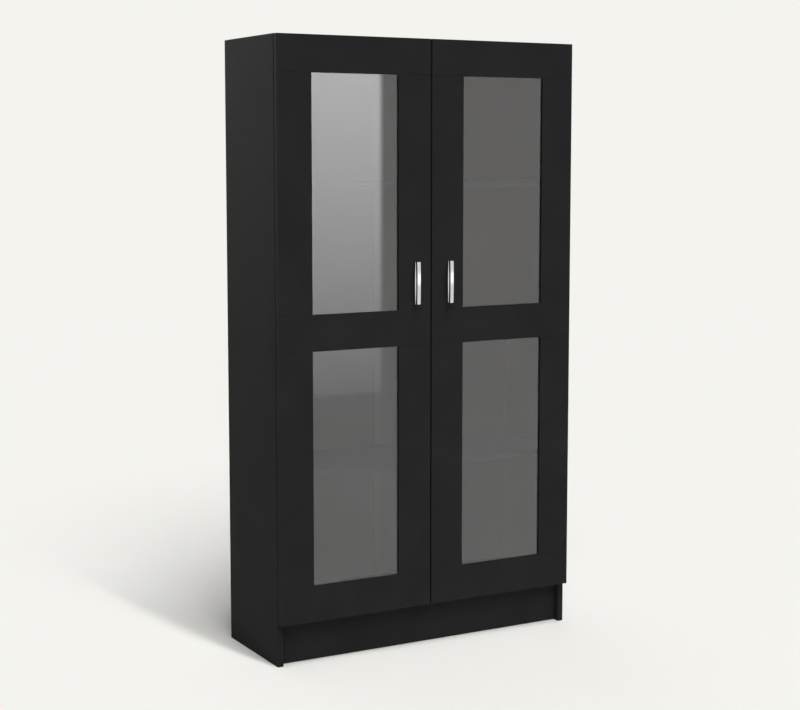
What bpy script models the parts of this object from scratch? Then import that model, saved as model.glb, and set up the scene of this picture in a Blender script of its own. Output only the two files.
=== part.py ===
"""A floor-standing display cabinet with two framed glass doors, piece by piece, in metres with +Z up.

The doors face -Y. The origin lies on the floor, midway across the width and midway between the front of the
handles and the back edges. Each door hangs from an empty that stands on the axis of its hinge pins.
"""

import math

import bmesh
import bpy
from mathutils import Matrix, Vector

# Overall sizes: the depth runs from the door fronts to the back edges, without the handles.
CABINET_WIDTH = 0.825
CABINET_HEIGHT = 1.500
CABINET_DEPTH = 0.300

# Boards, and the gap left between pieces that touch.
BOARD_THICKNESS = 0.015
BOARD_EDGE_RADIUS = 0.0006
CLEARANCE = 0.0003

# The plinth lifts the bottom panel and stands back from the front edges.
PLINTH_HEIGHT = 0.104
PLINTH_SETBACK = 0.018
PLINTH_FLOOR_GAP = 0.001

# The back is two thin boards held in grooves and joined by an H-shaped strip.
BACK_THICKNESS = 0.003
BACK_RECESS = 0.012
BACK_GROOVE_DEPTH = 0.006
STRIP_WIDTH = 0.020
STRIP_WALL = 0.0012

# Shelves, from the lowest up, and the pins under the two that can be moved.
SHELVES = ("lower_shelf", "middle_shelf", "upper_shelf")
SHELVES_ON_PINS = ("lower_shelf", "upper_shelf")
SHELF_THICKNESS = 0.015
SHELF_SETBACK = 0.010
SHELF_SIDE_GAP = 0.0005
PIN_RADIUS = 0.0025
PIN_DEPTH = 0.009
PIN_HEAD_RADIUS = 0.0035
PIN_HEAD_LENGTH = 0.008
PIN_INSET = 0.037

# Doors: frames of rails that run across the width, with stiles between them.
DOOR_THICKNESS = 0.015
DOOR_BACK_GAP = 0.0025
DOOR_MEETING_GAP = 0.004
DOOR_EDGE_INSET = 0.0005
DOOR_TOP_INSET = 0.0005
DOOR_EDGE_RADIUS = 0.0004
STILE_WIDTH = 0.089
RAIL_WIDTH = 0.0875

# Panes lie behind a thin lip, in rebates cut from the backs of the frames.
PANE_THICKNESS = 0.003
PANE_LIP = 0.004
REBATE_WIDTH = 0.008

# Handles: a straight bar on two legs, bowed a little. Behind its flat band the bar spreads out at 45 degrees,
# most in the middle. Each leg takes a screw from the back of the door.
HANDLE_HOLE_SPACING = 0.096
HANDLE_PROJECTION = 0.022
HANDLE_RISE = 0.066
HANDLE_BOW = 0.001
HANDLE_OVERHANG = 0.0037
HANDLE_THICKNESS = 0.0095
HANDLE_BAND_WIDTH = 0.009
HANDLE_BAND_EDGE = 0.0004
HANDLE_FLARE = 0.002
HANDLE_END_FLARE = 0.0005
HANDLE_BACK_RIM = 0.0005
HANDLE_LEG_WIDTH = 0.008
HANDLE_LEG_HEIGHT = 0.007
HANDLE_STEPS = 16
SCREW_RADIUS = 0.002
SCREW_GRIP = 0.010
SCREW_HEAD_RADIUS = 0.004
SCREW_HEAD_HEIGHT = 0.0022
SCREW_HEAD_CHAMFER = 0.0011

# Hinges: a cranked arm on the side panel reaches round its front edge to a pin in a cup, sunk in the door.
HINGE_RAIL_DISTANCE = 0.045
HINGE_EDGE_WALL = 0.0027
HINGE_FRONT_SKIN = 0.002
HINGE_PIN_RADIUS = 0.0012
KNUCKLE_RADIUS = 0.0024
CRANK_DROP = 0.0012
ARM_THICKNESS = 0.002
ARM_HEIGHT = 0.014
ARM_STANDOFF = 0.0035
ARM_REACH = 0.062
PLATE_DISTANCE = 0.037
PLATE_LENGTH = 0.040
WING_HEIGHT = 0.048
WING_LENGTH = 0.018
WING_THICKNESS = 0.002
CUP_WALL = 0.0006
CUP_END_GAP = 0.001
CUP_SWING_GAP = 0.0015
FLANGE_THICKNESS = 0.0008
FLANGE_MARGIN = 0.011

# Bumpers keep the closed doors off the top panel's edge.
BUMPER_RADIUS = 0.005
BUMPER_CHAMFER = 0.001
BUMPER_INSET = 0.030

# Hanger plates take the heads of two wall screws.
HANGER_INSET = 0.120
HANGER_WIDTH = 0.036
HANGER_DROP = 0.042
HANGER_THICKNESS = 0.0015
KEYHOLE_RADIUS = 0.005
KEYHOLE_SLOT_RADIUS = 0.0026
KEYHOLE_SLOT_RISE = 0.012
KEYHOLE_MARGIN = 0.012

# Round pieces, and how far a cutter runs past what it cuts.
ROUND_SEGMENTS = 16
SHARP_ANGLE = math.radians(30)
MERGE_DISTANCE = 1e-5
CUT_MARGIN = 0.002

# Places that follow from the sizes.
SIDE_X = CABINET_WIDTH / 2
INNER_X = SIDE_X - BOARD_THICKNESS
BACK_Y = (CABINET_DEPTH + HANDLE_PROJECTION) / 2
DOOR_FRONT_Y = BACK_Y - CABINET_DEPTH
DOOR_BACK_Y = DOOR_FRONT_Y + DOOR_THICKNESS
CARCASS_FRONT_Y = DOOR_BACK_Y + DOOR_BACK_GAP
BACK_BOARD_REAR_Y = BACK_Y - BACK_RECESS
BACK_BOARD_FRONT_Y = BACK_BOARD_REAR_Y - BACK_THICKNESS
STRIP_FRONT_Y = BACK_BOARD_FRONT_Y - CLEARANCE - STRIP_WALL
STRIP_REAR_Y = BACK_BOARD_REAR_Y + CLEARANCE + STRIP_WALL
INSIDE_FLOOR_Z = PLINTH_HEIGHT + BOARD_THICKNESS
INSIDE_CEILING_Z = CABINET_HEIGHT - BOARD_THICKNESS

DOOR_OUTER_X = SIDE_X - DOOR_EDGE_INSET
DOOR_INNER_X = DOOR_MEETING_GAP / 2
DOOR_TOP_Z = CABINET_HEIGHT - DOOR_TOP_INSET
PANE_OPENING_HEIGHT = (DOOR_TOP_Z - PLINTH_HEIGHT - 3 * RAIL_WIDTH) / 2
MIDDLE_RAIL_Z = PLINTH_HEIGHT + RAIL_WIDTH + PANE_OPENING_HEIGHT
TOP_RAIL_Z = DOOR_TOP_Z - RAIL_WIDTH
HANDLE_X = DOOR_INNER_X + STILE_WIDTH / 2
HANDLE_Z = MIDDLE_RAIL_Z + RAIL_WIDTH + HANDLE_RISE

CUP_SEAT = CLEARANCE + CUP_WALL + CLEARANCE + KNUCKLE_RADIUS
HINGE_AXIS_X = DOOR_OUTER_X - HINGE_EDGE_WALL - CUP_SEAT
HINGE_AXIS_Y = DOOR_FRONT_Y + HINGE_FRONT_SKIN + CUP_SEAT
HINGE_HEIGHTS = {
    "lower": PLINTH_HEIGHT + RAIL_WIDTH + HINGE_RAIL_DISTANCE,
    "middle": MIDDLE_RAIL_Z + RAIL_WIDTH + HINGE_RAIL_DISTANCE,
    "upper": TOP_RAIL_Z - HINGE_RAIL_DISTANCE,
}

# Places in a left hinge, from the middle of its pin: +X towards the cabinet's middle, +Y to the back.
PANEL_FACE = HINGE_AXIS_X - INNER_X
ARM_OUTER = PANEL_FACE + ARM_STANDOFF
ARM_INNER = ARM_OUTER + ARM_THICKNESS
CARCASS_EDGE = CARCASS_FRONT_Y - HINGE_AXIS_Y
DOOR_BACK = DOOR_BACK_Y - HINGE_AXIS_Y
KNUCKLE_SPACE = KNUCKLE_RADIUS + CLEARANCE
CUP_LOW = Vector((-KNUCKLE_SPACE, -KNUCKLE_SPACE, -ARM_HEIGHT / 2 - CUP_END_GAP))
CUP_HIGH = Vector((ARM_INNER + CUP_SWING_GAP, DOOR_BACK, ARM_HEIGHT / 2 + CUP_END_GAP))
WALLS = Vector((CUP_WALL, CUP_WALL, CUP_WALL))

SIDES = {"left": -1, "right": 1}
FACE_BACK = (-math.pi / 2, 0, 0)


def finish(name, colour, roughness, metallic=0.0, alpha=1.0):
    material = bpy.data.materials.new(name)
    material.use_nodes = True
    shader = material.node_tree.nodes["Principled BSDF"]
    shader.inputs["Base Color"].default_value = (*colour, 1.0)
    shader.inputs["Roughness"].default_value = roughness
    shader.inputs["Metallic"].default_value = metallic
    shader.inputs["Alpha"].default_value = alpha
    return material


def add_piece(name, mesh, material, location, rotation=(0, 0, 0), parent=None):
    """An object at a place given in world space, which then hangs from its parent, if it has one."""
    piece = bpy.data.objects.new(name, mesh)
    PARTS.objects.link(piece)
    piece.parent = parent
    piece.location = Vector(location) - (parent.location if parent else Vector())
    piece.rotation_euler = rotation
    if not mesh.materials:
        mesh.materials.append(material)
    return piece


def add_blank(name, mesh):
    """An object at the origin that is shaped further and then settled into a mesh."""
    blank = bpy.data.objects.new(name, mesh)
    PARTS.objects.link(blank)
    return blank


def add_cutter(name, mesh, location, rotation=(0, 0, 0)):
    cutter = bpy.data.objects.new(name, mesh)
    CUTTERS.objects.link(cutter)
    cutter.location = location
    cutter.rotation_euler = rotation
    cutter.hide_render = True
    cutter.display_type = "WIRE"
    return cutter


def combine(piece, operation, *others):
    for other in others:
        step = piece.modifiers.new(other.name, "BOOLEAN")
        step.operation = operation
        step.object = other


def box_mesh(size):
    mesh = bpy.data.meshes.new("box")
    shape = bmesh.new()
    bmesh.ops.create_cube(shape, size=1.0)
    bmesh.ops.scale(shape, vec=size, verts=shape.verts)
    shape.to_mesh(mesh)
    shape.free()
    return mesh


def rod_mesh(radius, length):
    """A round bar along Z with its middle at the origin."""
    mesh = bpy.data.meshes.new("rod")
    shape = bmesh.new()
    bmesh.ops.create_cone(
        shape, cap_ends=True, segments=ROUND_SEGMENTS, radius1=radius, radius2=radius, depth=length
    )
    shape.to_mesh(mesh)
    shape.free()
    return mesh


def box_cutter(name, low, high):
    low, high = Vector(low), Vector(high)
    return add_cutter(name, box_mesh(high - low), (low + high) / 2)


def box_blank(name, low, high):
    """A box whose places are in its mesh, for a piece that is joined and cut before it is placed."""
    low, high = Vector(low), Vector(high)
    mesh = box_mesh(high - low)
    mesh.transform(Matrix.Translation((low + high) / 2))
    return add_blank(name, mesh)


def board(name, low, high, material, parent=None, radius=BOARD_EDGE_RADIUS):
    """A flat board between two corners, with its edges eased."""
    low, high = Vector(low), Vector(high)
    piece = add_piece(name, box_mesh(high - low), material, (low + high) / 2, parent=parent)
    easing = piece.modifiers.new("eased_edges", "BEVEL")
    easing.width = radius
    easing.segments = 1
    return piece


def settle(blank):
    """The finished mesh of a blank and its modifiers, shaded smooth between its sharp edges.

    The blank and what cut or joined it are removed.
    """
    tools = [step.object for step in blank.modifiers if step.type == "BOOLEAN"]
    graph = bpy.context.evaluated_depsgraph_get()
    mesh = bpy.data.meshes.new_from_object(blank.evaluated_get(graph))
    mesh.shade_smooth()
    mesh.set_sharp_from_angle(angle=SHARP_ANGLE)
    for used in (blank, *tools):
        bpy.data.objects.remove(used)
    return mesh


def turned_mesh(name, profile):
    """A round piece on Z: its profile, listed as (radius, height) from the top down, turned once round."""
    mesh = bpy.data.meshes.new(name)
    edges = [(i, i + 1) for i in range(len(profile) - 1)]
    mesh.from_pydata([(radius, 0, height) for radius, height in profile], edges, [])
    blank = add_blank(name, mesh)
    turning = blank.modifiers.new("turned", "SCREW")
    turning.steps = turning.render_steps = ROUND_SEGMENTS
    turning.use_merge_vertices = True
    turning.merge_threshold = MERGE_DISTANCE
    return settle(blank)


def side_panel(side, sign):
    low_x, high_x = sorted((sign * SIDE_X, sign * INNER_X))
    return board(
        f"{side}_side_panel",
        (low_x, CARCASS_FRONT_Y, 0),
        (high_x, BACK_Y, CABINET_HEIGHT),
        BLACK_BOARD,
    )


def level_board(name, bottom, thickness, half_width, front, rear):
    return board(name, (-half_width, front, bottom), (half_width, rear, bottom + thickness), BLACK_BOARD)


def add_carcass():
    """Sides, top, bottom and plinth, with a groove round the inside for the back.

    Returns the side panels.
    """
    panels = {side: side_panel(side, sign) for side, sign in SIDES.items()}
    fit_x = INNER_X - CLEARANCE
    top = level_board("top_panel", INSIDE_CEILING_Z, BOARD_THICKNESS, fit_x, CARCASS_FRONT_Y, BACK_Y)
    bottom = level_board("bottom_panel", PLINTH_HEIGHT, BOARD_THICKNESS, fit_x, CARCASS_FRONT_Y, BACK_Y)
    plinth_y = CARCASS_FRONT_Y + PLINTH_SETBACK
    board(
        "plinth_board",
        (-fit_x, plinth_y, PLINTH_FLOOR_GAP),
        (fit_x, plinth_y + BOARD_THICKNESS, PLINTH_HEIGHT - CLEARANCE),
        BLACK_BOARD,
    )
    groove = box_cutter(
        "back_groove",
        (-INNER_X - BACK_GROOVE_DEPTH, BACK_BOARD_FRONT_Y - CLEARANCE, INSIDE_FLOOR_Z - BACK_GROOVE_DEPTH),
        (INNER_X + BACK_GROOVE_DEPTH, BACK_BOARD_REAR_Y + CLEARANCE, INSIDE_CEILING_Z + BACK_GROOVE_DEPTH),
    )
    for panel in (*panels.values(), top, bottom):
        combine(panel, "DIFFERENCE", groove)
    return panels


def add_back():
    """Two thin boards in the groove, and the strip that holds their meeting edges."""
    reach = BACK_GROOVE_DEPTH - CLEARANCE
    web = STRIP_WALL / 2
    for side, sign in SIDES.items():
        low_x, high_x = sorted((sign * (INNER_X + reach), sign * (web + CLEARANCE)))
        board(
            f"{side}_back_board",
            (low_x, BACK_BOARD_FRONT_Y, INSIDE_FLOOR_Z - reach),
            (high_x, BACK_BOARD_REAR_Y, INSIDE_CEILING_Z + reach),
            BACK_BOARD,
            radius=CLEARANCE,
        )
    low_z, high_z = INSIDE_FLOOR_Z + CLEARANCE, INSIDE_CEILING_Z - CLEARANCE
    strip = add_piece(
        "back_joining_strip",
        box_mesh(Vector((STRIP_WIDTH, STRIP_REAR_Y - STRIP_FRONT_Y, high_z - low_z))),
        BLACK_PLASTIC,
        (0, (STRIP_FRONT_Y + STRIP_REAR_Y) / 2, (low_z + high_z) / 2),
    )
    for side, sign in SIDES.items():
        low_x, high_x = sorted((sign * web, sign * (STRIP_WIDTH / 2 + CUT_MARGIN)))
        slot = box_cutter(
            f"{side}_strip_slot",
            (low_x, STRIP_FRONT_Y + STRIP_WALL, low_z - CUT_MARGIN),
            (high_x, STRIP_REAR_Y - STRIP_WALL, high_z + CUT_MARGIN),
        )
        combine(strip, "DIFFERENCE", slot)


def add_shelves(panels):
    """Evenly spaced shelves. Each movable one lies on four pins, in holes bored in the side panels."""
    pin_mesh = turned_mesh(
        "shelf_pin",
        [
            (0, PIN_HEAD_LENGTH),
            (PIN_HEAD_RADIUS, PIN_HEAD_LENGTH),
            (PIN_HEAD_RADIUS, 0),
            (PIN_RADIUS, 0),
            (PIN_RADIUS, -PIN_DEPTH),
            (0, -PIN_DEPTH),
        ],
    )
    hole_mesh = rod_mesh(PIN_RADIUS + CLEARANCE, 2 * (PIN_DEPTH + CLEARANCE))
    front, rear = CARCASS_FRONT_Y + SHELF_SETBACK, STRIP_FRONT_Y - CLEARANCE
    free_height = INSIDE_CEILING_Z - INSIDE_FLOOR_Z - len(SHELVES) * SHELF_THICKNESS
    pitch = free_height / (len(SHELVES) + 1) + SHELF_THICKNESS
    for step, name in enumerate(SHELVES, start=1):
        bottom = INSIDE_FLOOR_Z + step * pitch - SHELF_THICKNESS
        level_board(name, bottom, SHELF_THICKNESS, INNER_X - SHELF_SIDE_GAP, front, rear)
        if name not in SHELVES_ON_PINS:
            continue
        pin_z = bottom - CLEARANCE - PIN_HEAD_RADIUS
        for side, sign in SIDES.items():
            for place, y in (("front", front + PIN_INSET), ("rear", rear - PIN_INSET)):
                label = f"{name}_{side}_{place}_pin"
                inward = (0, -sign * math.pi / 2, 0)
                seat = (sign * (INNER_X - CLEARANCE), y, pin_z)
                add_piece(label, pin_mesh, BLACK_PLASTIC, seat, inward)
                hole = add_cutter(f"{label}_hole", hole_mesh, (sign * INNER_X, y, pin_z), inward)
                combine(panels[side], "DIFFERENCE", hole)


def add_door_frame(side, sign, axis):
    """Three rails with two pairs of stiles between them. Returns the pieces by name."""

    def frame_board(name, outer, inner, bottom, top):
        low_x, high_x = sorted((sign * outer, sign * inner))
        return board(
            f"{side}_door_{name}",
            (low_x, DOOR_FRONT_Y, bottom),
            (high_x, DOOR_BACK_Y, top),
            BLACK_BOARD,
            axis,
            DOOR_EDGE_RADIUS,
        )

    frame = {}
    for name, bottom in (("bottom", PLINTH_HEIGHT), ("middle", MIDDLE_RAIL_Z), ("top", TOP_RAIL_Z)):
        rail = f"{name}_rail"
        frame[rail] = frame_board(rail, DOOR_OUTER_X, DOOR_INNER_X, bottom, bottom + RAIL_WIDTH)
    stiles = {
        "outer": (DOOR_OUTER_X, DOOR_OUTER_X - STILE_WIDTH),
        "inner": (DOOR_INNER_X + STILE_WIDTH, DOOR_INNER_X),
    }
    for level, bottom in (("lower", PLINTH_HEIGHT + RAIL_WIDTH), ("upper", MIDDLE_RAIL_Z + RAIL_WIDTH)):
        top = bottom + PANE_OPENING_HEIGHT
        for place, (outer, inner) in stiles.items():
            stile = f"{level}_{place}_stile"
            frame[stile] = frame_board(stile, outer, inner, bottom + CLEARANCE, top - CLEARANCE)
    return frame


def add_panes(side, sign, axis, frame):
    """A pane behind each opening, in a rebate that is cut from the four boards round it."""
    low_x, high_x = sorted((sign * (DOOR_OUTER_X - STILE_WIDTH), sign * (DOOR_INNER_X + STILE_WIDTH)))
    rails = {"lower": ("bottom_rail", "middle_rail"), "upper": ("middle_rail", "top_rail")}
    rebate_y = DOOR_FRONT_Y + PANE_LIP
    for level, bottom in (("lower", PLINTH_HEIGHT + RAIL_WIDTH), ("upper", MIDDLE_RAIL_Z + RAIL_WIDTH)):
        low = Vector((low_x - REBATE_WIDTH, rebate_y, bottom - REBATE_WIDTH))
        high = Vector((high_x + REBATE_WIDTH, DOOR_BACK_Y, bottom + PANE_OPENING_HEIGHT + REBATE_WIDTH))
        rebate = box_cutter(f"{side}_{level}_rebate", low, high + Vector((0, CUT_MARGIN, 0)))
        for name in (*rails[level], f"{level}_outer_stile", f"{level}_inner_stile"):
            combine(frame[name], "DIFFERENCE", rebate)
        gap = Vector((CLEARANCE, CLEARANCE, CLEARANCE))
        high.y = rebate_y + CLEARANCE + PANE_THICKNESS + CLEARANCE
        board(f"{side}_door_{level}_pane", low + gap, high - gap, GLASS, axis, CLEARANCE)


def bar_section(flare):
    """The corners of a handle's section, as (across, outwards) pairs in order round it."""
    half, front = HANDLE_BAND_WIDTH / 2, HANDLE_THICKNESS / 2
    side = [
        (half - HANDLE_BAND_EDGE, front),
        (half, front - HANDLE_BAND_EDGE),
        (half, HANDLE_BACK_RIM + flare - front),
        (half + flare, HANDLE_BACK_RIM - front),
        (half + flare, -front),
    ]
    return side + [(-across, outwards) for across, outwards in reversed(side)]


def handle_mesh():
    """A bar lofted along Z, joined to its legs, with a blind screw hole in each leg.

    The bar's middle line is a shallow parabola, and its flare follows a cosine along it. The door's face is
    the plane y = 0, and the handle stands out to -Y.
    """
    half_length = HANDLE_HOLE_SPACING / 2 + HANDLE_OVERHANG
    reach = HANDLE_PROJECTION - HANDLE_THICKNESS / 2
    shape = bmesh.new()
    rings = []
    for step in range(HANDLE_STEPS + 1):
        share = 2 * step / HANDLE_STEPS - 1
        flare = HANDLE_END_FLARE + (HANDLE_FLARE - HANDLE_END_FLARE) * math.cos(math.pi / 2 * share)
        out = reach - HANDLE_BOW * share**2
        ring = [(across, -out - outwards, half_length * share) for across, outwards in bar_section(flare)]
        rings.append([shape.verts.new(point) for point in ring])
    for ring, following in zip(rings, rings[1:]):
        for index in range(len(ring)):
            after = (index + 1) % len(ring)
            shape.faces.new((ring[index], ring[after], following[after], following[index]))
    shape.faces.new(rings[0])
    shape.faces.new(rings[-1])
    bmesh.ops.recalc_face_normals(shape, faces=shape.faces)
    mesh = bpy.data.meshes.new("handle")
    shape.to_mesh(mesh)
    shape.free()
    blank = add_blank("handle", mesh)
    for z in (-HANDLE_HOLE_SPACING / 2, HANDLE_HOLE_SPACING / 2):
        leg = box_cutter(
            "handle_leg",
            (-HANDLE_LEG_WIDTH / 2, HANDLE_BOW - reach, z - HANDLE_LEG_HEIGHT / 2),
            (HANDLE_LEG_WIDTH / 2, -CLEARANCE, z + HANDLE_LEG_HEIGHT / 2),
        )
        hole_mesh = rod_mesh(SCREW_RADIUS + CLEARANCE, 2 * (SCREW_GRIP + CLEARANCE))
        combine(blank, "UNION", leg)
        combine(blank, "DIFFERENCE", add_cutter("leg_hole", hole_mesh, (0, 0, z), FACE_BACK))
    return settle(blank)


def screw_mesh():
    """A pan-head screw on Z, with the underside of its head at z = 0."""
    return turned_mesh(
        "handle_screw",
        [
            (0, SCREW_HEAD_HEIGHT),
            (SCREW_HEAD_RADIUS - SCREW_HEAD_CHAMFER, SCREW_HEAD_HEIGHT),
            (SCREW_HEAD_RADIUS, SCREW_HEAD_HEIGHT - SCREW_HEAD_CHAMFER),
            (SCREW_HEAD_RADIUS, 0),
            (SCREW_RADIUS, 0),
            (SCREW_RADIUS, -CLEARANCE - DOOR_THICKNESS - SCREW_GRIP),
            (0, -CLEARANCE - DOOR_THICKNESS - SCREW_GRIP),
        ],
    )


def add_handle(side, sign, axis, stile, handle, screw):
    """A handle on the upper inner stile, with its two screws in holes through the stile."""
    x = sign * HANDLE_X
    add_piece(f"{side}_handle", handle, CHROME, (x, DOOR_FRONT_Y, HANDLE_Z), parent=axis)
    for place, end in (("lower", -1), ("upper", 1)):
        label = f"{side}_handle_{place}_screw"
        z = HANDLE_Z + end * HANDLE_HOLE_SPACING / 2
        add_piece(label, screw, STEEL, (x, DOOR_BACK_Y + CLEARANCE, z), FACE_BACK, axis)
        hole = add_cutter(
            f"{label}_hole",
            rod_mesh(SCREW_RADIUS + CLEARANCE, DOOR_THICKNESS + 2 * CUT_MARGIN),
            (x, (DOOR_FRONT_Y + DOOR_BACK_Y) / 2, z),
            FACE_BACK,
        )
        combine(stile, "DIFFERENCE", hole)


def hinge_arm_mesh():
    """Mounting plate with two wings, arm and crank in one, ending in a knuckle round the pin."""
    half = ARM_HEIGHT / 2
    crank_low = -CRANK_DROP - ARM_THICKNESS / 2
    seat = PANEL_FACE + CLEARANCE
    plate_y = CARCASS_EDGE + PLATE_DISTANCE
    arm = box_blank("hinge_arm", (ARM_OUTER, crank_low, -half), (ARM_INNER, CARCASS_EDGE + ARM_REACH, half))
    crank = box_cutter("crank", (0, crank_low, -half), (ARM_INNER, crank_low + ARM_THICKNESS, half))
    plate = box_cutter(
        "plate",
        (seat, plate_y - PLATE_LENGTH / 2, -half + CUP_END_GAP),
        (ARM_OUTER + ARM_THICKNESS / 2, plate_y + PLATE_LENGTH / 2, half - CUP_END_GAP),
    )
    wings = box_cutter(
        "wings",
        (seat, plate_y - WING_LENGTH / 2, -WING_HEIGHT / 2),
        (seat + WING_THICKNESS, plate_y + WING_LENGTH / 2, WING_HEIGHT / 2),
    )
    knuckle = add_cutter("knuckle", rod_mesh(KNUCKLE_RADIUS, ARM_HEIGHT), (0, 0, 0))
    bore = add_cutter("pin_bore", rod_mesh(HINGE_PIN_RADIUS + CLEARANCE, ARM_HEIGHT + CUT_MARGIN), (0, 0, 0))
    combine(arm, "UNION", crank, plate, wings, knuckle)
    combine(arm, "DIFFERENCE", bore)
    return settle(arm)


def hinge_cup_mesh():
    """A shallow open cup with a flange on the back of the door, and the pin across it."""
    rim = DOOR_BACK + CLEARANCE + FLANGE_THICKNESS
    outer_low, outer_high = CUP_LOW - WALLS, CUP_HIGH + WALLS
    cup = box_blank("hinge_cup", outer_low, (outer_high.x, rim, outer_high.z))
    flange = box_cutter(
        "flange",
        (outer_low.x, DOOR_BACK + CLEARANCE, outer_low.z - FLANGE_MARGIN),
        (outer_high.x + FLANGE_MARGIN, rim, outer_high.z + FLANGE_MARGIN),
    )
    hollow = box_cutter("hollow", CUP_LOW, (CUP_HIGH.x, rim + CUT_MARGIN, CUP_HIGH.z))
    pin = add_cutter("pin", rod_mesh(HINGE_PIN_RADIUS, CUP_HIGH.z - CUP_LOW.z + CUP_WALL), (0, 0, 0))
    combine(cup, "UNION", flange)
    combine(cup, "DIFFERENCE", hollow)
    combine(cup, "UNION", pin)
    return settle(cup)


def add_hinges(side, sign, axis, frame, arm_mesh, cup_mesh):
    """Three hinges on the outer stiles. A right hinge is a left one turned over."""
    turn = (0, 0, 0) if sign < 0 else (0, math.pi, 0)
    pocket_low = CUP_LOW - WALLS - Vector((CLEARANCE, CLEARANCE, CLEARANCE))
    pocket_high = CUP_HIGH + WALLS + Vector((CLEARANCE, CUT_MARGIN, CLEARANCE))
    stiles = {"lower": "lower_outer_stile", "middle": "upper_outer_stile", "upper": "upper_outer_stile"}
    for level, z in HINGE_HEIGHTS.items():
        place = Vector((sign * HINGE_AXIS_X, HINGE_AXIS_Y, z))
        add_piece(f"{side}_{level}_hinge_arm", arm_mesh, STEEL, place, turn)
        add_piece(f"{side}_{level}_hinge_cup", cup_mesh, STEEL, place, turn, axis)
        middle = (pocket_low + pocket_high) / 2
        middle.x *= -sign
        pocket_mesh = box_mesh(pocket_high - pocket_low)
        pocket = add_cutter(f"{side}_{level}_hinge_pocket", pocket_mesh, place + middle)
        combine(frame[stiles[level]], "DIFFERENCE", pocket)


def bumper_mesh():
    height = DOOR_BACK_GAP - 2 * CLEARANCE
    return turned_mesh(
        "bumper",
        [
            (0, height),
            (BUMPER_RADIUS - BUMPER_CHAMFER, height),
            (BUMPER_RADIUS, height - BUMPER_CHAMFER),
            (BUMPER_RADIUS, 0),
            (0, 0),
        ],
    )


def add_doors():
    handle, screw, bumper = handle_mesh(), screw_mesh(), bumper_mesh()
    arm_mesh, cup_mesh = hinge_arm_mesh(), hinge_cup_mesh()
    for side, sign in SIDES.items():
        axis = bpy.data.objects.new(f"{side}_door_axis", None)
        PARTS.objects.link(axis)
        axis.location = (sign * HINGE_AXIS_X, HINGE_AXIS_Y, 0)
        frame = add_door_frame(side, sign, axis)
        add_panes(side, sign, axis, frame)
        add_handle(side, sign, axis, frame["upper_inner_stile"], handle, screw)
        add_hinges(side, sign, axis, frame, arm_mesh, cup_mesh)
        bumper_place = (
            sign * (DOOR_INNER_X + BUMPER_INSET),
            DOOR_BACK_Y + CLEARANCE,
            CABINET_HEIGHT - BOARD_THICKNESS / 2,
        )
        add_piece(f"{side}_door_bumper", bumper, RUBBER, bumper_place, FACE_BACK, axis)


def hanger_mesh():
    """An angle: its top leg lies under the top panel, and its upright leg has a keyhole for a wall screw."""
    half = HANGER_WIDTH / 2
    top = -CLEARANCE
    leg = BACK_RECESS - CLEARANCE
    keyhole_z = top - HANGER_DROP + KEYHOLE_MARGIN
    blank = box_blank("hanger", (-half, -leg, top - HANGER_THICKNESS), (half, 0, top))
    upright = box_cutter("upright", (-half, -HANGER_THICKNESS, top - HANGER_DROP), (half, 0, top))
    depth = 2 * (HANGER_THICKNESS + CUT_MARGIN)
    head = add_cutter("keyhole_head", rod_mesh(KEYHOLE_RADIUS, depth), (0, 0, keyhole_z), FACE_BACK)
    slot = box_cutter(
        "keyhole_slot",
        (-KEYHOLE_SLOT_RADIUS, -depth / 2, keyhole_z),
        (KEYHOLE_SLOT_RADIUS, depth / 2, keyhole_z + KEYHOLE_SLOT_RISE),
    )
    slot_end = add_cutter(
        "keyhole_slot_end",
        rod_mesh(KEYHOLE_SLOT_RADIUS, depth),
        (0, 0, keyhole_z + KEYHOLE_SLOT_RISE),
        FACE_BACK,
    )
    combine(blank, "UNION", upright)
    combine(blank, "DIFFERENCE", head, slot, slot_end)
    return settle(blank)


def add_hangers():
    mesh = hanger_mesh()
    for side, sign in SIDES.items():
        place = (sign * (INNER_X - HANGER_INSET), BACK_Y, INSIDE_CEILING_Z)
        add_piece(f"{side}_wall_hanger", mesh, STEEL, place)


for leftover in list(bpy.data.objects):
    bpy.data.objects.remove(leftover)
PARTS = bpy.data.collections.new("display_cabinet")
CUTTERS = bpy.data.collections.new("cutters")
for collection in (PARTS, CUTTERS):
    bpy.context.scene.collection.children.link(collection)

BLACK_BOARD = finish("black_board", (0.020, 0.020, 0.020), 0.55)
BACK_BOARD = finish("back_board", (0.022, 0.022, 0.022), 0.65)
BLACK_PLASTIC = finish("black_plastic", (0.018, 0.018, 0.018), 0.45)
GLASS = finish("glass", (0.80, 0.82, 0.82), 0.03, alpha=0.3)
CHROME = finish("chrome", (0.80, 0.80, 0.81), 0.08, metallic=1.0)
STEEL = finish("nickel_plated_steel", (0.56, 0.55, 0.53), 0.28, metallic=1.0)
RUBBER = finish("clear_rubber", (0.30, 0.30, 0.29), 0.5)

add_shelves(add_carcass())
add_back()
add_doors()
add_hangers()
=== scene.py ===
"""The looks of a floor-standing display cabinet with two framed glass doors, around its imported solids."""

import math

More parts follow.
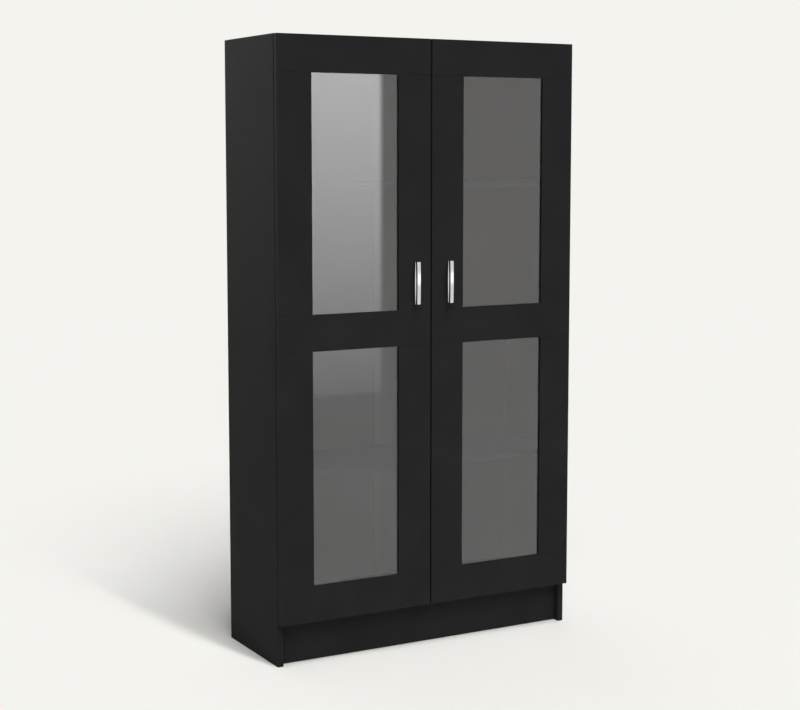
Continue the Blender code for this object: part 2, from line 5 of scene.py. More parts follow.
import bpy
import numpy as np
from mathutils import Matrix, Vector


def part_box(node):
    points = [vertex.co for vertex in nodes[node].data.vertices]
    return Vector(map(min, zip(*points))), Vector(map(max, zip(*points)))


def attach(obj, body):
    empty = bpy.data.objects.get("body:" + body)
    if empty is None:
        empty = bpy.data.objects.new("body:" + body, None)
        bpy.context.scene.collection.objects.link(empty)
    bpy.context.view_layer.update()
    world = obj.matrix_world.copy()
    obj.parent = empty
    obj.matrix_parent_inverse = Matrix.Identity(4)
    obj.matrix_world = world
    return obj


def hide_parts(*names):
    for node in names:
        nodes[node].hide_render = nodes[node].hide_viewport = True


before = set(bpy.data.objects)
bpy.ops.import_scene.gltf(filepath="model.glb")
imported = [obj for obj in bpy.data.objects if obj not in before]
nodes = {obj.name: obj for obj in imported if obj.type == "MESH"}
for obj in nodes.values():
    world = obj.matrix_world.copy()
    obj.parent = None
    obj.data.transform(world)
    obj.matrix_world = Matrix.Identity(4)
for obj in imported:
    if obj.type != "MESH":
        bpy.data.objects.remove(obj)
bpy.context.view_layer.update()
scene = bpy.context.scene
scene.view_settings.view_transform = "Standard"

# The camera looks at the cabinet from the left of its middle, a little above the handles. A small shift
# keeps the uprights almost parallel, as in the photograph.
camera_data = bpy.data.cameras.new("camera")
camera_data.sensor_width = 36.0
camera_data.lens = 73.57
camera_data.shift_y = -0.035
camera = bpy.data.objects.new("camera", camera_data)
camera.location = (-2.0085, -3.590, 1.226)
camera.rotation_euler = (math.radians(83.92), 0.0, math.radians(-29.10))
scene.collection.objects.link(camera)
scene.camera = camera


# Side panels: upright boards of pressed wood chips, faced on both sides with black melamine paper that was
# pressed against a finely grained plate, and closed with a glued plastic band on each edge.
class Wire:
    """A socket in a material's nodes. Sums, differences and products add Math nodes."""

    def __init__(self, tree, socket=None):
        self.tree = tree
        self.socket = socket

    def node(self, kind, settings=None, sockets=None, out=0):
        """Adds a node of that type: its settings are set first, then each socket takes a value or a wire."""
        made = self.tree.nodes.new("ShaderNode" + kind)
        for name, value in (settings or {}).items():
            setattr(made, name, value)
        for name, value in (sockets or {}).items():
            if isinstance(value, Wire):
                self.tree.links.new(value.socket, made.inputs[name])
            else:
                made.inputs[name].default_value = value
        return Wire(self.tree, made.outputs[out])

    def maths(self, operation, first, second=0.0):
        """Adds one Math node, between wires or between a wire and a number."""
        return self.node("Math", {"operation": operation}, {0: first, 1: second})

    def __add__(self, other):
        return self.maths("ADD", self, other)

    def __sub__(self, other):
        return self.maths("SUBTRACT", self, other)

    def __rsub__(self, other):
        return self.maths("SUBTRACT", other, self)

    def __mul__(self, other):
        return self.maths("MULTIPLY", self, other)

    __radd__ = __add__
    __rmul__ = __mul__

    def step(self, low, high):
        """0 below low and 1 above high, with a smooth rise between. If high is less, it falls instead."""
        limits = {"Value": self, "From Min": low, "From Max": high}
        return self.node("MapRange", {"interpolation_type": "SMOOTHSTEP"}, limits)

    def noise(self, scale, detail=3.0, stretch=(1.0, 1.0, 1.0)):
        """Clouds of the given number per metre along the piece's own places, drawn out by stretch."""
        places = self.node("TexCoord", out="Object")
        drawn = self.node("Mapping", {}, {"Vector": places, "Scale": stretch})
        sockets = {"Vector": drawn, "Scale": scale, "Detail": detail, "Roughness": 0.6}
        return self.node("TexNoise", {}, sockets)

    def mix(self, first, second):
        """The first colour where this wire is 0, and the second where it is 1."""
        first, second = (
            colour if isinstance(colour, Wire) else (*colour, 1.0) for colour in (first, second)
        )
        sockets = {"Factor": self, "A": first, "B": second}
        return self.node("Mix", {"data_type": "RGBA"}, sockets, out="Result")

    def edge_distance(self, node):
        """How far a place on a board's surface lies from the nearest edge of that board.

        On a face, the distance to the nearest of the board's three pairs of sides is zero and the second
        nearest pair gives the distance to the edge, so the middle one of the three distances is it.
        """
        low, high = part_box(node)
        places = self.node("TexCoord", out="Object")
        distances = []
        for axis in "XYZ":
            index = "XYZ".index(axis)
            place = self.node("SeparateXYZ", {}, {"Vector": places}, out=axis)
            middle, half = (low[index] + high[index]) / 2, (high[index] - low[index]) / 2
            distances.append(half - self.maths("ABSOLUTE", place - middle))
        first, second, third = distances
        lesser = self.maths("MINIMUM", first, second)
        greater = self.maths("MAXIMUM", first, second)
        return self.maths("MAXIMUM", lesser, self.maths("MINIMUM", greater, third))


def new_finish(name, **values):
    """A material with a Principled shader. Values that are the same all over are set on its sockets."""
    material = bpy.data.materials.new(name)
    material.use_nodes = True
    shader = material.node_tree.nodes["Principled BSDF"]
    for socket, value in values.items():
        shader.inputs[socket.replace("_", " ")].default_value = value
    return material, shader, Wire(material.node_tree)


def connect(shader, tools, height=None, depth=0.0, **wires):
    """Joins wires to a shader's sockets, and a height in metres to its normal."""
    for socket, wire in wires.items():
        tools.tree.links.new(wire.socket, shader.inputs[socket.replace("_", " ")])
    if height:
        bump = tools.node("Bump", {}, {"Strength": 1.0, "Distance": depth, "Height": height}, out="Normal")
        tools.tree.links.new(bump.socket, shader.inputs["Normal"])


def dress(node, material):
    """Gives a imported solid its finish."""
    slots = nodes[node].data.materials
    slots.clear()
    slots.append(material)


MELAMINE_DARK = (0.0167, 0.0167, 0.0170)
MELAMINE_LIGHT = (0.0198, 0.0198, 0.0201)
MELAMINE_RUBBED = (0.0212, 0.0212, 0.0212)
MELAMINE_GRAIN_HEIGHT = 0.00003
RUBBED_EDGE_START = 0.0013
RUBBED_EDGE_FULL = 0.0003


def melamine(node):
    """Black melamine: a fine pressed grain, faint clouds, wiping streaks and slightly rubbed edges."""
    material, shader, tools = new_finish(f"black_melamine_{node}", Specular_IOR_Level=0.012)
    grain = tools.noise(scale=1400.0, detail=2.0)
    clouds = tools.noise(scale=7.0, detail=4.0)
    streaks = tools.noise(scale=22.0, stretch=(1.0, 1.0, 0.12))
    patches = tools.noise(scale=45.0, detail=4.0).step(0.42, 0.70)
    rubbed = tools.edge_distance(node).step(RUBBED_EDGE_START, RUBBED_EDGE_FULL) * patches
    colour = clouds.step(0.3, 0.7).mix(MELAMINE_DARK, MELAMINE_LIGHT)
    worn = rubbed.mix(colour, MELAMINE_RUBBED)
    roughness = 0.40 + 0.10 * clouds + 0.08 * streaks - 0.10 * rubbed
    connect(
        shader,
        tools,
        height=grain,
        depth=MELAMINE_GRAIN_HEIGHT,
        Base_Color=worn,
        Roughness=roughness,
    )
    return material


for side in ("left", "right"):
    dress(f"{side}_side_panel", melamine(f"{side}_side_panel"))

# Top, bottom and plinth: boards of the same stock between the side panels. The plinth board stands back
# under the bottom panel, so that a foot has room in front of it.
for board in ("top_panel", "bottom_panel", "plinth_board"):
    dress(board, melamine(board))


# Cam locks: turned zinc drums, let into the undersides of the top panel and the fixed middle shelf. Each
# grips the head of a bolt in the side panel, and a cross in its face takes a screwdriver.
def volume(faces):
    """Six times the signed volume of the cones from the origin to flat faces, given by their corners."""
    turns = np.cross(faces, np.roll(faces, -1, axis=1)).sum(axis=1)
    return np.einsum("ij,ij->", faces[:, 0], turns)


SHARP_ANGLE = math.radians(40)


def closed_skins(name, grids, material, body):
    """A piece of closed skins: each grid of points has its rows along a path and its columns round it.

    Neighbouring points are joined by four-sided faces, the first and the last row are closed by flat ends,
    and a skin that comes out inside out, with a negative volume, is turned round.
    """
    points, faces = [], []
    for grid in grids:
        rows, columns = grid.shape[:2]
        index = np.arange(rows * columns).reshape(rows, columns)
        after = np.roll(index, -1, axis=1)
        quads = np.stack([index[:-1], after[:-1], after[1:], index[1:]], axis=-1).reshape(-1, 4)
        ends = np.stack([index[0, ::-1], index[-1]])
        skin = grid.reshape(-1, 3)
        if volume(skin[quads]) + volume(skin[ends]) < 0:
            quads, ends = quads[:, ::-1], ends[:, ::-1]
        faces += (quads + len(points)).tolist() + (ends + len(points)).tolist()
        points += skin.tolist()
    mesh = bpy.data.meshes.new(name)
    mesh.from_pydata(points, [], faces)
    mesh.shade_smooth()
    mesh.set_sharp_from_angle(angle=SHARP_ANGLE)
    mesh.materials.append(material)
    piece = bpy.data.objects.new(name, mesh)
    scene.collection.objects.link(piece)
    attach(piece, body)
    return piece


def smooth(values, low, high):
    """0 below low and 1 above high, with a smooth rise between them."""
    share = np.clip((values - low) / (high - low), 0.0, 1.0)
    return share * share * (3 - 2 * share)


HEAD_STEPS = 32
DOME_STEPS = 14
# Shares of a head's radius: its topmost ring, and half the width and the reach of its cross, each at the
# floor and at the rim of the recess.
TOP_RING = 0.02
CROSS_FLOOR_WIDTH = 0.102
CROSS_RIM_WIDTH = 0.221
CROSS_FLOOR_REACH = 0.51
CROSS_RIM_REACH = 0.6


def cross_heads(centres, outward, up, radius, rim, dome, recess):
    """Round heads with a cross cut into them, one at each centre.

    A head is a half profile turned about its axis: a straight rim, then a quarter ellipse up to the middle.
    The cross lowers the places that lie near either of two crossing lines and within three fifths of the
    radius, by the depth of the recess.
    """
    turn = np.linspace(0, 2 * np.pi, HEAD_STEPS, endpoint=False)
    rise = np.linspace(0, np.pi / 2, DOME_STEPS, endpoint=False)
    rings = np.concatenate([[1.0], np.cos(rise), [TOP_RING]])
    heights = np.concatenate([[0.0], rim + dome * np.sin(rise), [rim + dome]])
    across = rings[:, None] * np.cos(turn)
    along = rings[:, None] * np.sin(turn)
    from_lines = np.minimum(np.abs(across), np.abs(along))
    near_line = 1 - smooth(from_lines, CROSS_FLOOR_WIDTH, CROSS_RIM_WIDTH)
    near_middle = 1 - smooth(np.hypot(across, along), CROSS_FLOOR_REACH, CROSS_RIM_REACH)
    lifted = heights[:, None] - recess * near_line * near_middle
    outward = np.asarray(outward, float)
    up = np.asarray(up, float)
    sideways = np.cross(up, outward)
    flat = radius * (across[..., None] * sideways + along[..., None] * up)
    head = flat + lifted[..., None] * outward
    return np.asarray(centres, float)[:, None, None, :] + head


PLATING_LINE_HEIGHT = 0.000012


def plated_steel(name, dark, light, lowest, highest):
    """Plated steel: faint clouds in the plating and fine drawn lines."""
    material, shader, tools = new_finish(name, Metallic=1.0)
    clouds = tools.noise(scale=60.0, detail=4.0)
    lines = tools.noise(scale=900.0, detail=2.0, stretch=(1.0, 0.06, 1.0))
    roughness = lowest + (highest - lowest) * clouds.step(0.25, 0.75) + 0.05 * lines
    connect(
        shader,
        tools,
        height=lines,
        depth=PLATING_LINE_HEIGHT,
        Base_Color=clouds.step(0.3, 0.7).mix(dark, light),
        Roughness=roughness,
    )
    return material


ZINC = plated_steel(
    "cast_zinc", dark=(0.30, 0.30, 0.30), light=(0.42, 0.42, 0.41), lowest=0.38, highest=0.55
)
CAM_HEAD = {"radius": 0.0074, "rim": 0.0002, "dome": 0.0004, "recess": 0.0018}
CAM_END_DISTANCE = 0.034
CAM_EDGE_DISTANCE = 0.045
cam_centres = []
for board in ("top_panel", "middle_shelf"):
    low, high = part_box(board)
    cam_centres += [
        (x, y, low.z)
        for x in (low.x + CAM_END_DISTANCE, high.x - CAM_END_DISTANCE)
        for y in (low.y + CAM_EDGE_DISTANCE, high.y - CAM_EDGE_DISTANCE)
    ]
cam_heads = cross_heads(cam_centres, (0, 0, -1), (0, 1, 0), **CAM_HEAD)
closed_skins("cam_locks", cam_heads, ZINC, "carcass")

# Shelves and pins: three boards of the same stock. Cam locks hold the middle one, and the others lie on
# moulded pins that plug into holes in the side panels.
for board in ("lower_shelf", "middle_shelf", "upper_shelf"):
    dress(board, melamine(board))

PLASTIC_SPARK_HEIGHT = 0.00004


def moulded_plastic(name, dark, light):
    """Black moulded plastic with the sparks of an etched mould and a slight flow marking."""
    material, shader, tools = new_finish(name, Specular_IOR_Level=0.35)
    sparks = tools.noise(scale=2600.0, detail=2.0)
    flow = tools.noise(scale=40.0)
    connect(
        shader,
        tools,
        height=sparks,
        depth=PLASTIC_SPARK_HEIGHT,
        Base_Color=flow.step(0.3, 0.7).mix(dark, light),
        Roughness=0.34 + 0.16 * flow + 0.06 * sparks,
    )
    return material


BLACK_PLASTIC = moulded_plastic(
    "black_moulded_plastic", dark=(0.011, 0.011, 0.011), light=(0.016, 0.016, 0.016)
)
for shelf in ("lower_shelf", "upper_shelf"):
    for side in ("left", "right"):
        for place in ("front", "rear"):
            dress(f"{shelf}_{side}_{place}_pin", BLACK_PLASTIC)

# Back: two thin boards of pressed wood fibre, painted black, that slide into the groove round the carcass.
# A plastic strip with an H-shaped section holds their meeting edges.
FIBRE_DARK = (0.0150, 0.0145, 0.0140)
FIBRE_LIGHT = (0.0225, 0.0215, 0.0205)
FIBRE_STRAND_HEIGHT = 0.00006


def painted_fibre(name):
    """Thin black paint on pressed fibres, which show as fine felted strands in the paint's gloss."""
    material, shader, tools = new_finish(name, Specular_IOR_Level=0.2)
    strands = tools.noise(scale=420.0, detail=5.0, stretch=(1.0, 1.0, 0.35))
    clouds = tools.noise(scale=5.0, detail=4.0)
    tone = (0.6 * clouds + 0.4 * strands).step(0.35, 0.65)
    connect(
        shader,
        tools,
        height=strands,
        depth=FIBRE_STRAND_HEIGHT,
        Base_Color=tone.mix(FIBRE_DARK, FIBRE_LIGHT),
        Roughness=0.50 + 0.20 * strands,
    )
    return material


PAINTED_FIBRE = painted_fibre("painted_fibre_board")
for side in ("left", "right"):
    dress(f"{side}_back_board", PAINTED_FIBRE)
dress("back_joining_strip", BLACK_PLASTIC)

# Door frames: rails of the board stock across the whole width of each door, with stiles dowelled between
# them, flush on the front.
FRAME_BOARDS = (
    "top_rail",
    "middle_rail",
    "bottom_rail",
    "upper_outer_stile",
    "upper_inner_stile",
    "lower_outer_stile",
    "lower_inner_stile",
)
for side in ("left", "right"):
    for board in FRAME_BOARDS:
        dress(f"{side}_door_{board}", melamine(f"{side}_door_{board}"))

# Panes: clear float glass, 3 mm thick with ground edges, laid from behind against the lips of the frames.
# Their faces are polished so bright that they mirror the room.
GLASS_FACE = (0.982, 0.983, 0.982)
GLASS_EDGE = (0.72, 0.84, 0.79)
GLASS_GLOSS = (0.99, 0.975, 1.0, 1.0)
GRIND_START = 0.006
GRIND_FULL = 0.0005


def float_glass(node):
    """Clear glass with a green cast and a matt grind along its edges, and a trace of wiping on its faces."""
    material, shader, tools = new_finish(
        f"float_glass_{node}", Transmission_Weight=1.0, IOR=1.70, Specular_Tint=GLASS_GLOSS
    )
    rim = tools.edge_distance(node).step(GRIND_START, GRIND_FULL)
    smears = tools.noise(scale=9.0, detail=4.0, stretch=(1.0, 1.0, 0.35)).step(0.62, 0.85)
    colour = rim.mix(GLASS_FACE, GLASS_EDGE)
    connect(shader, tools, Base_Color=colour, Roughness=0.01 * smears + 0.25 * rim)
    return material


for side in ("left", "right"):
    for level in ("upper", "lower"):
        dress(f"{side}_door_{level}_pane", float_glass(f"{side}_door_{level}_pane"))

# Glazing beads: extruded black plastic strips with a quarter-round face, cut to a mitre at the corners and
# pressed into the rebates behind the panes.
BEAD_WIDTH = 0.0075
BEAD_DEPTH = 0.0072
BEAD_ROUND = 0.0048
BEAD_GAP = 0.0001
BEAD_SIGHT_GAP = 0.0003
BEAD_ROUND_STEPS = 9


def bead_grids(low, high, pane_back):
    """Four strips round an opening between two corners, which lie in the plane of the pane's back.

    The section is a rectangle whose edge towards the room is a quarter circle. Its points are pairs (away
    from the opening, backwards). Each strip runs from corner to corner, and every point of its ends is drawn
    out along the strip as far as it lies away from the opening, which makes the mitre.
    """
    turn = np.linspace(0, np.pi / 2, BEAD_ROUND_STEPS)
    away = BEAD_SIGHT_GAP + BEAD_ROUND * (1 - np.cos(turn))
    depth = BEAD_DEPTH - BEAD_ROUND * (1 - np.sin(turn))
    away = np.concatenate([[BEAD_SIGHT_GAP], away, [BEAD_WIDTH, BEAD_WIDTH]])
    depth = np.concatenate([[0.0], depth, [BEAD_DEPTH, 0.0]])
    corners = np.array([(low.x, low.z), (high.x, low.z), (high.x, high.z), (low.x, high.z)])
    following = np.roll(corners, -1, axis=0)
    run = following - corners
    run /= np.linalg.norm(run, axis=1, keepdims=True)
    outward = np.stack([run[:, 1], -run[:, 0]], axis=1)
    shift = away[:, None] * outward[:, None, :]
    reach = (away - BEAD_GAP)[:, None] * run[:, None, :]
    flat = np.stack([corners[:, None] + shift - reach, following[:, None] + shift + reach], axis=1)
    back = np.broadcast_to(pane_back + depth, flat.shape[:-1])
    return np.stack([flat[..., 0], back, flat[..., 1]], axis=-1)


for side in ("left", "right"):
    for level, below, above in (("upper", "middle", "top"), ("lower", "bottom", "middle")):
        stiles = [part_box(f"{side}_door_{level}_{place}_stile") for place in ("outer", "inner")]
        (_, first_end), (second_start, _) = sorted(stiles, key=lambda box: box[0].x)
        first_end.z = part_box(f"{side}_door_{below}_rail")[1].z
        second_start.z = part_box(f"{side}_door_{above}_rail")[0].z
        pane_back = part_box(f"{side}_door_{level}_pane")[1].y
        beads = bead_grids(first_end, second_start, pane_back)
        name = f"{side}_door_{level}_glazing_beads"
        closed_skins(name, beads, BLACK_PLASTIC, f"{side}_door")

# Hinges: pressed and plated steel. An arm on a winged plate is screwed to the side panel, and its cranked
# end turns on a pin in a cup that is let into the stile and screwed to it through its flange.
NICKEL = plated_steel(
    "nickel_plate", dark=(0.50, 0.49, 0.47), light=(0.62, 0.61, 0.585), lowest=0.20, highest=0.34
)
PLATED = plated_steel(
    "plated_steel", dark=(0.46, 0.45, 0.43), light=(0.58, 0.57, 0.55), lowest=0.22, highest=0.36
)
BACKWARD = (0.0, 1.0, 0.0)
UPWARD = (0.0, 0.0, 1.0)
PLATE_DISTANCE = 0.037
WING_FACE = 0.0023
WING_SCREW_SPACING = 0.032
FLANGE_SCREW_INSET = 0.0075
FLANGE_SCREW_SPACING = 0.0284
ADJUSTER_SPACING = 0.022
WING_SCREW = {"radius": 0.0036, "rim": 0.0004, "dome": 0.0014, "recess": 0.0012}
FLANGE_SCREW = {"radius": 0.0034, "rim": 0.0003, "dome": 0.0012, "recess": 0.0011}
ADJUSTER = {"radius": 0.0030, "rim": 0.0002, "dome": 0.0006, "recess": 0.0010}
for side, sign in (("left", -1), ("right", 1)):
    arm_screws = []
    flange_screws = []
    inward = (-sign, 0, 0)
    for level in ("lower", "middle", "upper"):
        arm, cup = f"{side}_{level}_hinge_arm", f"{side}_{level}_hinge_cup"
        dress(arm, NICKEL)
        dress(cup, NICKEL)
        arm_low, arm_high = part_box(arm)
        cup_low, cup_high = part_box(cup)
        panel_low, panel_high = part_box(f"{side}_side_panel")
        z = (arm_low.z + arm_high.z) / 2
        plate_y = panel_low.y + PLATE_DISTANCE
        wing_x = panel_low.x - WING_FACE if sign > 0 else panel_high.x + WING_FACE
        arm_x = arm_low.x if sign > 0 else arm_high.x
        flange_x = cup_low.x + FLANGE_SCREW_INSET if sign > 0 else cup_high.x - FLANGE_SCREW_INSET
        wing_seats = [(wing_x, plate_y, z + end * WING_SCREW_SPACING / 2) for end in (-1, 1)]
        adjusters = [(arm_x, plate_y + end * ADJUSTER_SPACING / 2, z) for end in (-1, 1)]
        flange_seats = [(flange_x, cup_high.y, z + end * FLANGE_SCREW_SPACING / 2) for end in (-1, 1)]
        arm_screws.append(cross_heads(wing_seats, inward, UPWARD, **WING_SCREW))
        arm_screws.append(cross_heads(adjusters, inward, UPWARD, **ADJUSTER))
        flange_screws.append(cross_heads(flange_seats, BACKWARD, UPWARD, **FLANGE_SCREW))
    arm_heads = np.concatenate(arm_screws)
    flange_heads = np.concatenate(flange_screws)
    closed_skins(f"{side}_hinge_arm_screws", arm_heads, PLATED, "carcass")
    closed_skins(f"{side}_hinge_cup_screws", flange_heads, PLATED, f"{side}_door")

# Handles: straight die-cast bars with bright chrome plating, each on two legs that screws draw to the door
# from behind. A flat band runs along the front, and behind it the bar spreads out, most in its middle.
CHROME_CLEAN = (0.70, 0.705, 0.71)
CHROME_TOUCHED = (0.64, 0.645, 0.65)


def chrome_plate(name):
    """Bright chrome: almost a mirror, with a trace of handling on it."""
    material, shader, tools = new_finish(name, Metallic=1.0)
    touch = tools.noise(scale=130.0, detail=4.0).step(0.45, 0.8)
    colour = touch.mix(CHROME_CLEAN, CHROME_TOUCHED)
    connect(shader, tools, Base_Color=colour, Roughness=0.05 + 0.06 * touch)
    return material


CHROME = chrome_plate("bright_chrome")
HANDLE_HOLE_SPACING = 0.096
HANDLE_BAR_STEPS = 40
HANDLE_EDGE_STEPS = 6
HANDLE_BOW = 0.001
HANDLE_THICKNESS = 0.0095
HANDLE_BAND_WIDTH = 0.009
HANDLE_BAND_EDGE = 0.0004
HANDLE_BAND_INSET = 0.0006
HANDLE_FLARE = 0.002
HANDLE_END_FLARE = 0.0005
HANDLE_BACK_RIM = 0.0005
HANDLE_REAR_EDGE = 0.0002
HANDLE_END_EDGE = 0.0006
HANDLE_LEG_WIDTH = 0.008
HANDLE_LEG_HEIGHT = 0.007
HANDLE_LEG_EDGE = 0.0012
HANDLE_LEG_STEPS = 24
HANDLE_FOOT_GAP = 0.0003


def handle_bar(place, reach, half_length):
    """The bar of a handle, whose middle line stands out from a place on the door by its reach.

    The middle line is a shallow parabola. The section is a band with rounded edges, two flanks, and a rear
    that spreads out at 45 degrees, by an amount that follows a cosine along the bar. At both ends it draws
    in along a quarter circle.
    """
    ease = np.linspace(0, np.pi / 2, HANDLE_EDGE_STEPS)[1:]
    straight = (half_length - HANDLE_END_EDGE) * np.linspace(0, 1, HANDLE_BAR_STEPS)
    along = np.concatenate([straight, straight[-1] + HANDLE_END_EDGE * np.sin(ease)])
    inset = HANDLE_END_EDGE * np.concatenate([np.zeros(len(straight)), 1 - np.cos(ease)])
    along = np.concatenate([-along[:0:-1], along])
    inset = np.concatenate([inset[:0:-1], inset])[:, None]
    share = (along / half_length)[:, None]
    flare = HANDLE_END_FLARE + (HANDLE_FLARE - HANDLE_END_FLARE) * np.cos(np.pi / 2 * share)

    edge = np.linspace(np.pi / 2, 0, HANDLE_EDGE_STEPS + 1)
    band = HANDLE_BAND_WIDTH / 2
    front = HANDLE_THICKNESS / 2
    rim = HANDLE_BACK_RIM - front
    flat = band - HANDLE_BAND_INSET
    across = np.concatenate([[flat], band - HANDLE_BAND_EDGE * (1 - np.cos(edge)), [band] * 4])
    across[-1] -= HANDLE_REAR_EDGE
    rise = np.concatenate([[front], front - HANDLE_BAND_EDGE * (1 - np.sin(edge))])
    rise = np.concatenate([rise, [rim, rim, HANDLE_REAR_EDGE - front, -front]])
    spread = np.concatenate([np.zeros(len(edge) + 1), [0, 1, 1, 1]])
    lift = np.concatenate([np.zeros(len(edge) + 1), [1, 0, 0, 0]])
    across = (across + flare * spread) * (1 - inset / band)
    rise = (rise + flare * lift) * (1 - inset / front)
    x = place[0] + np.concatenate([across, -across[:, ::-1]], axis=1)
    y = place[1] - reach + HANDLE_BOW * share**2 - np.concatenate([rise, rise[:, ::-1]], axis=1)
    return np.stack(np.broadcast_arrays(x, y, place[2] + along[:, None]), axis=-1)


def handle_leg(place, reach):
    """A straight leg from a place on the door into the bar. Its section is a rectangle with round corners."""
    turn = 2 * np.pi * (np.arange(HANDLE_LEG_STEPS) + 0.5) / HANDLE_LEG_STEPS
    across = np.cos(turn)
    up = np.sin(turn)
    x = np.sign(across) * (HANDLE_LEG_WIDTH / 2 - HANDLE_LEG_EDGE) + HANDLE_LEG_EDGE * across
    z = np.sign(up) * (HANDLE_LEG_HEIGHT / 2 - HANDLE_LEG_EDGE) + HANDLE_LEG_EDGE * up
    y = -np.array([[HANDLE_FOOT_GAP], [reach - HANDLE_BOW]])
    return np.stack(np.broadcast_arrays(place[0] + x, place[1] + y, place[2] + z), axis=-1)


for side in ("left", "right"):
    low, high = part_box(f"{side}_handle")
    x, y, z = (low.x + high.x) / 2, high.y + HANDLE_FOOT_GAP, (low.z + high.z) / 2
    reach = y - low.y - HANDLE_THICKNESS / 2
    legs = [handle_leg((x, y, z + end * HANDLE_HOLE_SPACING / 2), reach) for end in (-1, 1)]
    skins = [handle_bar((x, y, z), reach, (high.z - low.z) / 2), *legs]
    piece = closed_skins(f"{side}_bar_handle", skins, CHROME, f"{side}_door")
    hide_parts(f"{side}_handle")
    for end in ("lower", "upper"):
        dress(f"{side}_handle_{end}_screw", PLATED)

# Bumpers: self-adhesive domes of soft clear plastic on the backs of the top rails. They keep the closed
# doors off the front edge of the top panel.
BUMPER_DARK = (0.26, 0.26, 0.25)
BUMPER_LIGHT = (0.34, 0.34, 0.33)
BUMPER_GRAIN_HEIGHT = 0.00002
material, shader, tools = new_finish("clear_bumper", Specular_IOR_Level=0.4)
haze = tools.noise(scale=500.0)
connect(
    shader,
    tools,
    height=haze,
    depth=BUMPER_GRAIN_HEIGHT,
    Base_Color=haze.step(0.3, 0.7).mix(BUMPER_DARK, BUMPER_LIGHT),
    Roughness=0.30 + 0.15 * haze,
)
for side in ("left", "right"):
    dress(f"{side}_door_bumper", material)

# Wall hangers: angles of galvanised sheet under the top panel, with a keyhole in the upright leg for the
# head of a wall screw.
SPANGLE_DARK = (0.44, 0.45, 0.46)
SPANGLE_LIGHT = (0.60, 0.61, 0.62)
SPANGLES_PER_METRE = 260.0
SHEET_GRAIN_HEIGHT = 0.00002
material, shader, tools = new_finish("galvanised_sheet", Metallic=1.0)
places = tools.node("TexCoord", out="Object")
spangle = tools.node("TexVoronoi", {}, {"Vector": places, "Scale": SPANGLES_PER_METRE}, out="Color")
tone = tools.node("SeparateXYZ", {}, {"Vector": spangle}, out="X")
connect(
    shader,
    tools,
    height=tools.noise(scale=700.0),
    depth=SHEET_GRAIN_HEIGHT,
    Base_Color=tone.mix(SPANGLE_DARK, SPANGLE_LIGHT),
    Roughness=0.30 + 0.20 * tone,
)
for side in ("left", "right"):
    dress(f"{side}_wall_hanger", material)

# The studio: a pale floor, which far away glows as evenly as the background behind it. A wide lamp in front,
# a low one at the left, one behind, a light bar that arches overhead and an even sky light the floor near
# the cabinet. Their shares of its light sum to one.
BACKGROUND = (0.905, 0.896, 0.863)
FLOOR_HALF = 40.0
GLOW_START = 5.0
GLOW_FULL = 11.0
floor_mesh = bpy.data.meshes.new("floor")
corners = [(x * FLOOR_HALF, y * FLOOR_HALF, 0.0) for x, y in ((-1, -1), (1, -1), (1, 1), (-1, 1))]
floor_mesh.from_pydata(corners, [], [(0, 1, 2, 3)])
floor = bpy.data.objects.new("floor", floor_mesh)
scene.collection.objects.link(floor)
floor_paint, shader, tools = new_finish("pale_floor", Roughness=0.9, Specular_IOR_Level=0.0)
shader.inputs["Base Color"].default_value = (*BACKGROUND, 1.0)
places = tools.node("TexCoord", out="Object")
distance = tools.node("VectorMath", {"operation": "LENGTH"}, {"Vector": places}, out="Value")
lit = Wire(tools.tree, shader.outputs["BSDF"])
glow = tools.node("Emission", {}, {"Color": (*BACKGROUND, 1.0)})
surface = tools.node("MixShader", {}, {0: distance.step(GLOW_START, GLOW_FULL), 1: lit, 2: glow})
tools.tree.links.new(surface.socket, tools.tree.nodes["Material Output"].inputs["Surface"])
floor_mesh.materials.append(floor_paint)

SKY_SHARE = 0.02
world = bpy.data.worlds.new("studio")
world.use_nodes = True
scene.world = world
tools = Wire(world.node_tree)
light = tools.node("Background", {}, {"Color": (1.0, 1.0, 1.0, 1.0), "Strength": SKY_SHARE})
shown = tools.node("Background", {}, {"Color": (*BACKGROUND, 1.0), "Strength": 1.0})
seen = tools.node("LightPath", out="Is Camera Ray")
for ray in ("Is Glossy Ray", "Is Transmission Ray"):
    seen = tools.maths("MAXIMUM", seen, tools.node("LightPath", out=ray))
sky = tools.node("MixShader", {}, {0: seen, 1: light, 2: shown})
tools.tree.links.new(sky.socket, world.node_tree.nodes["World Output"].inputs["Surface"])


def distant_lamp(name, height, to_right, width, share):
    """A far lamp: its height, its place to the right of the front and its width in degrees, and its share."""
    lamp_data = bpy.data.lights.new(name, "SUN")
    lamp_data.energy = math.pi * share / math.sin(math.radians(height))
    lamp_data.angle = math.radians(width)
    lamp = bpy.data.objects.new(name, lamp_data)
    lamp.rotation_euler = (math.radians(90 - height), 0.0, math.radians(to_right))
    scene.collection.objects.link(lamp)


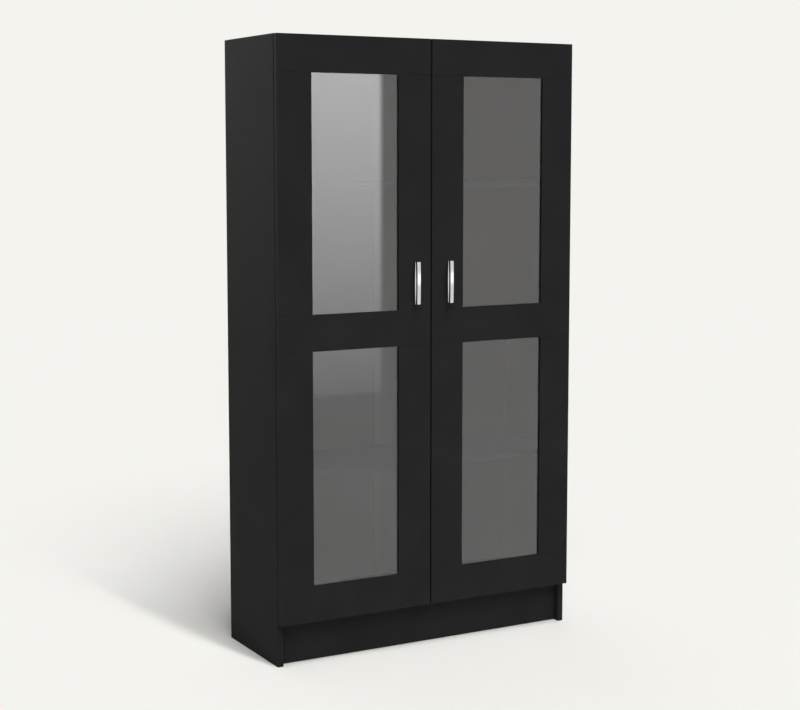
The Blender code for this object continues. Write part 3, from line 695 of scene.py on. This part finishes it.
distant_lamp("front_lamp", height=51, to_right=-12, width=36, share=0.405)
distant_lamp("rear_lamp", height=70, to_right=180, width=30, share=0.12)
distant_lamp("low_lamp", height=12, to_right=-29, width=20, share=0.035)
BAR_LAMPS = 17
BAR_SHARE = 0.42
BAR_WIDTH = 2.2
BAR_FOOT_HEIGHT = 54
BAR_BEND_HEIGHT = 74
BAR_TOP_HEIGHT = 86
BAR_FOOT_TO_RIGHT = 7
BAR_BEND_TO_RIGHT = 13.5
BAR_FADE_START = 51
BAR_FADE_END = 76
bar_heights = np.linspace(BAR_FOOT_HEIGHT, BAR_TOP_HEIGHT, BAR_LAMPS)
bar_bend = (BAR_FOOT_HEIGHT, BAR_BEND_HEIGHT), (BAR_FOOT_TO_RIGHT, BAR_BEND_TO_RIGHT)
bar_to_right = np.interp(bar_heights, *bar_bend)
bar_shares = smooth(bar_heights, BAR_FADE_START, BAR_FADE_END)
bar_shares *= BAR_SHARE / bar_shares.sum()
bar = np.stack([bar_heights, bar_to_right, bar_shares], axis=-1).tolist()
for number, (height, to_right, share) in enumerate(bar, start=1):
    distant_lamp(f"light_bar_{number}", height, to_right, BAR_WIDTH, share)


# Reflectors: cards that only mirrors show. A tall one, brighter towards its top, is seen in the panes of the
# left door, a small one in the middles of the handles, and a wide one as a faint sheen on the left side.
def reflector(name, y, low, high, foot_glow, top_glow, softness, in_panes=False):
    """An upright card between two corners (x, z), whose glow changes upwards and fades at its edges.

    A card for the panes shows through glass too, because a pane also mirrors on its back face.
    """
    corners = (low, (high[0], low[1]), high, (low[0], high[1]))
    mesh = bpy.data.meshes.new(name)
    mesh.from_pydata([(x, y, z) for x, z in corners], [], [(0, 1, 2, 3)])
    card = bpy.data.objects.new(name, mesh)
    scene.collection.objects.link(card)
    card.visible_camera = card.visible_diffuse = card.visible_shadow = False
    card.visible_transmission = in_panes
    material = bpy.data.materials.new(name)
    material.use_nodes = True
    tools = Wire(material.node_tree)
    places = tools.node("TexCoord", out="Object")
    x, z = (tools.node("SeparateXYZ", {}, {"Vector": places}, out=axis) for axis in "XZ")
    inside = x.step(low[0], low[0] + softness) * x.step(high[0], high[0] - softness)
    inside = inside * z.step(low[1], low[1] + softness) * z.step(high[1], high[1] - softness)
    rise = (z - low[1]) * (1 / (high[1] - low[1]))
    strength = foot_glow + (top_glow - foot_glow) * rise
    glow = tools.node("Emission", {}, {"Color": inside * strength})
    clear = tools.node("BsdfTransparent")
    both = tools.node("AddShader", {}, {0: glow, 1: clear})
    tools.tree.links.new(both.socket, tools.tree.nodes["Material Output"].inputs["Surface"])
    mesh.materials.append(material)


FRONT_REFLECTORS_Y = -3.139
SIDE_REFLECTOR_Y = 3.2
reflector(
    "tall_reflector",
    y=FRONT_REFLECTORS_Y,
    low=(0.98, 0.128),
    high=(1.51, 2.40),
    foot_glow=0.20,
    top_glow=3.9,
    softness=0.04,
    in_panes=True,
)
reflector(
    "small_reflector",
    y=FRONT_REFLECTORS_Y,
    low=(1.57, 0.58),
    high=(1.93, 0.83),
    foot_glow=0.9,
    top_glow=0.9,
    softness=0.09,
)
reflector(
    "side_reflector",
    y=SIDE_REFLECTOR_Y,
    low=(-3.2, 0.2),
    high=(-0.6, 3.2),
    foot_glow=0.0,
    top_glow=4.3,
    softness=0.3,
)
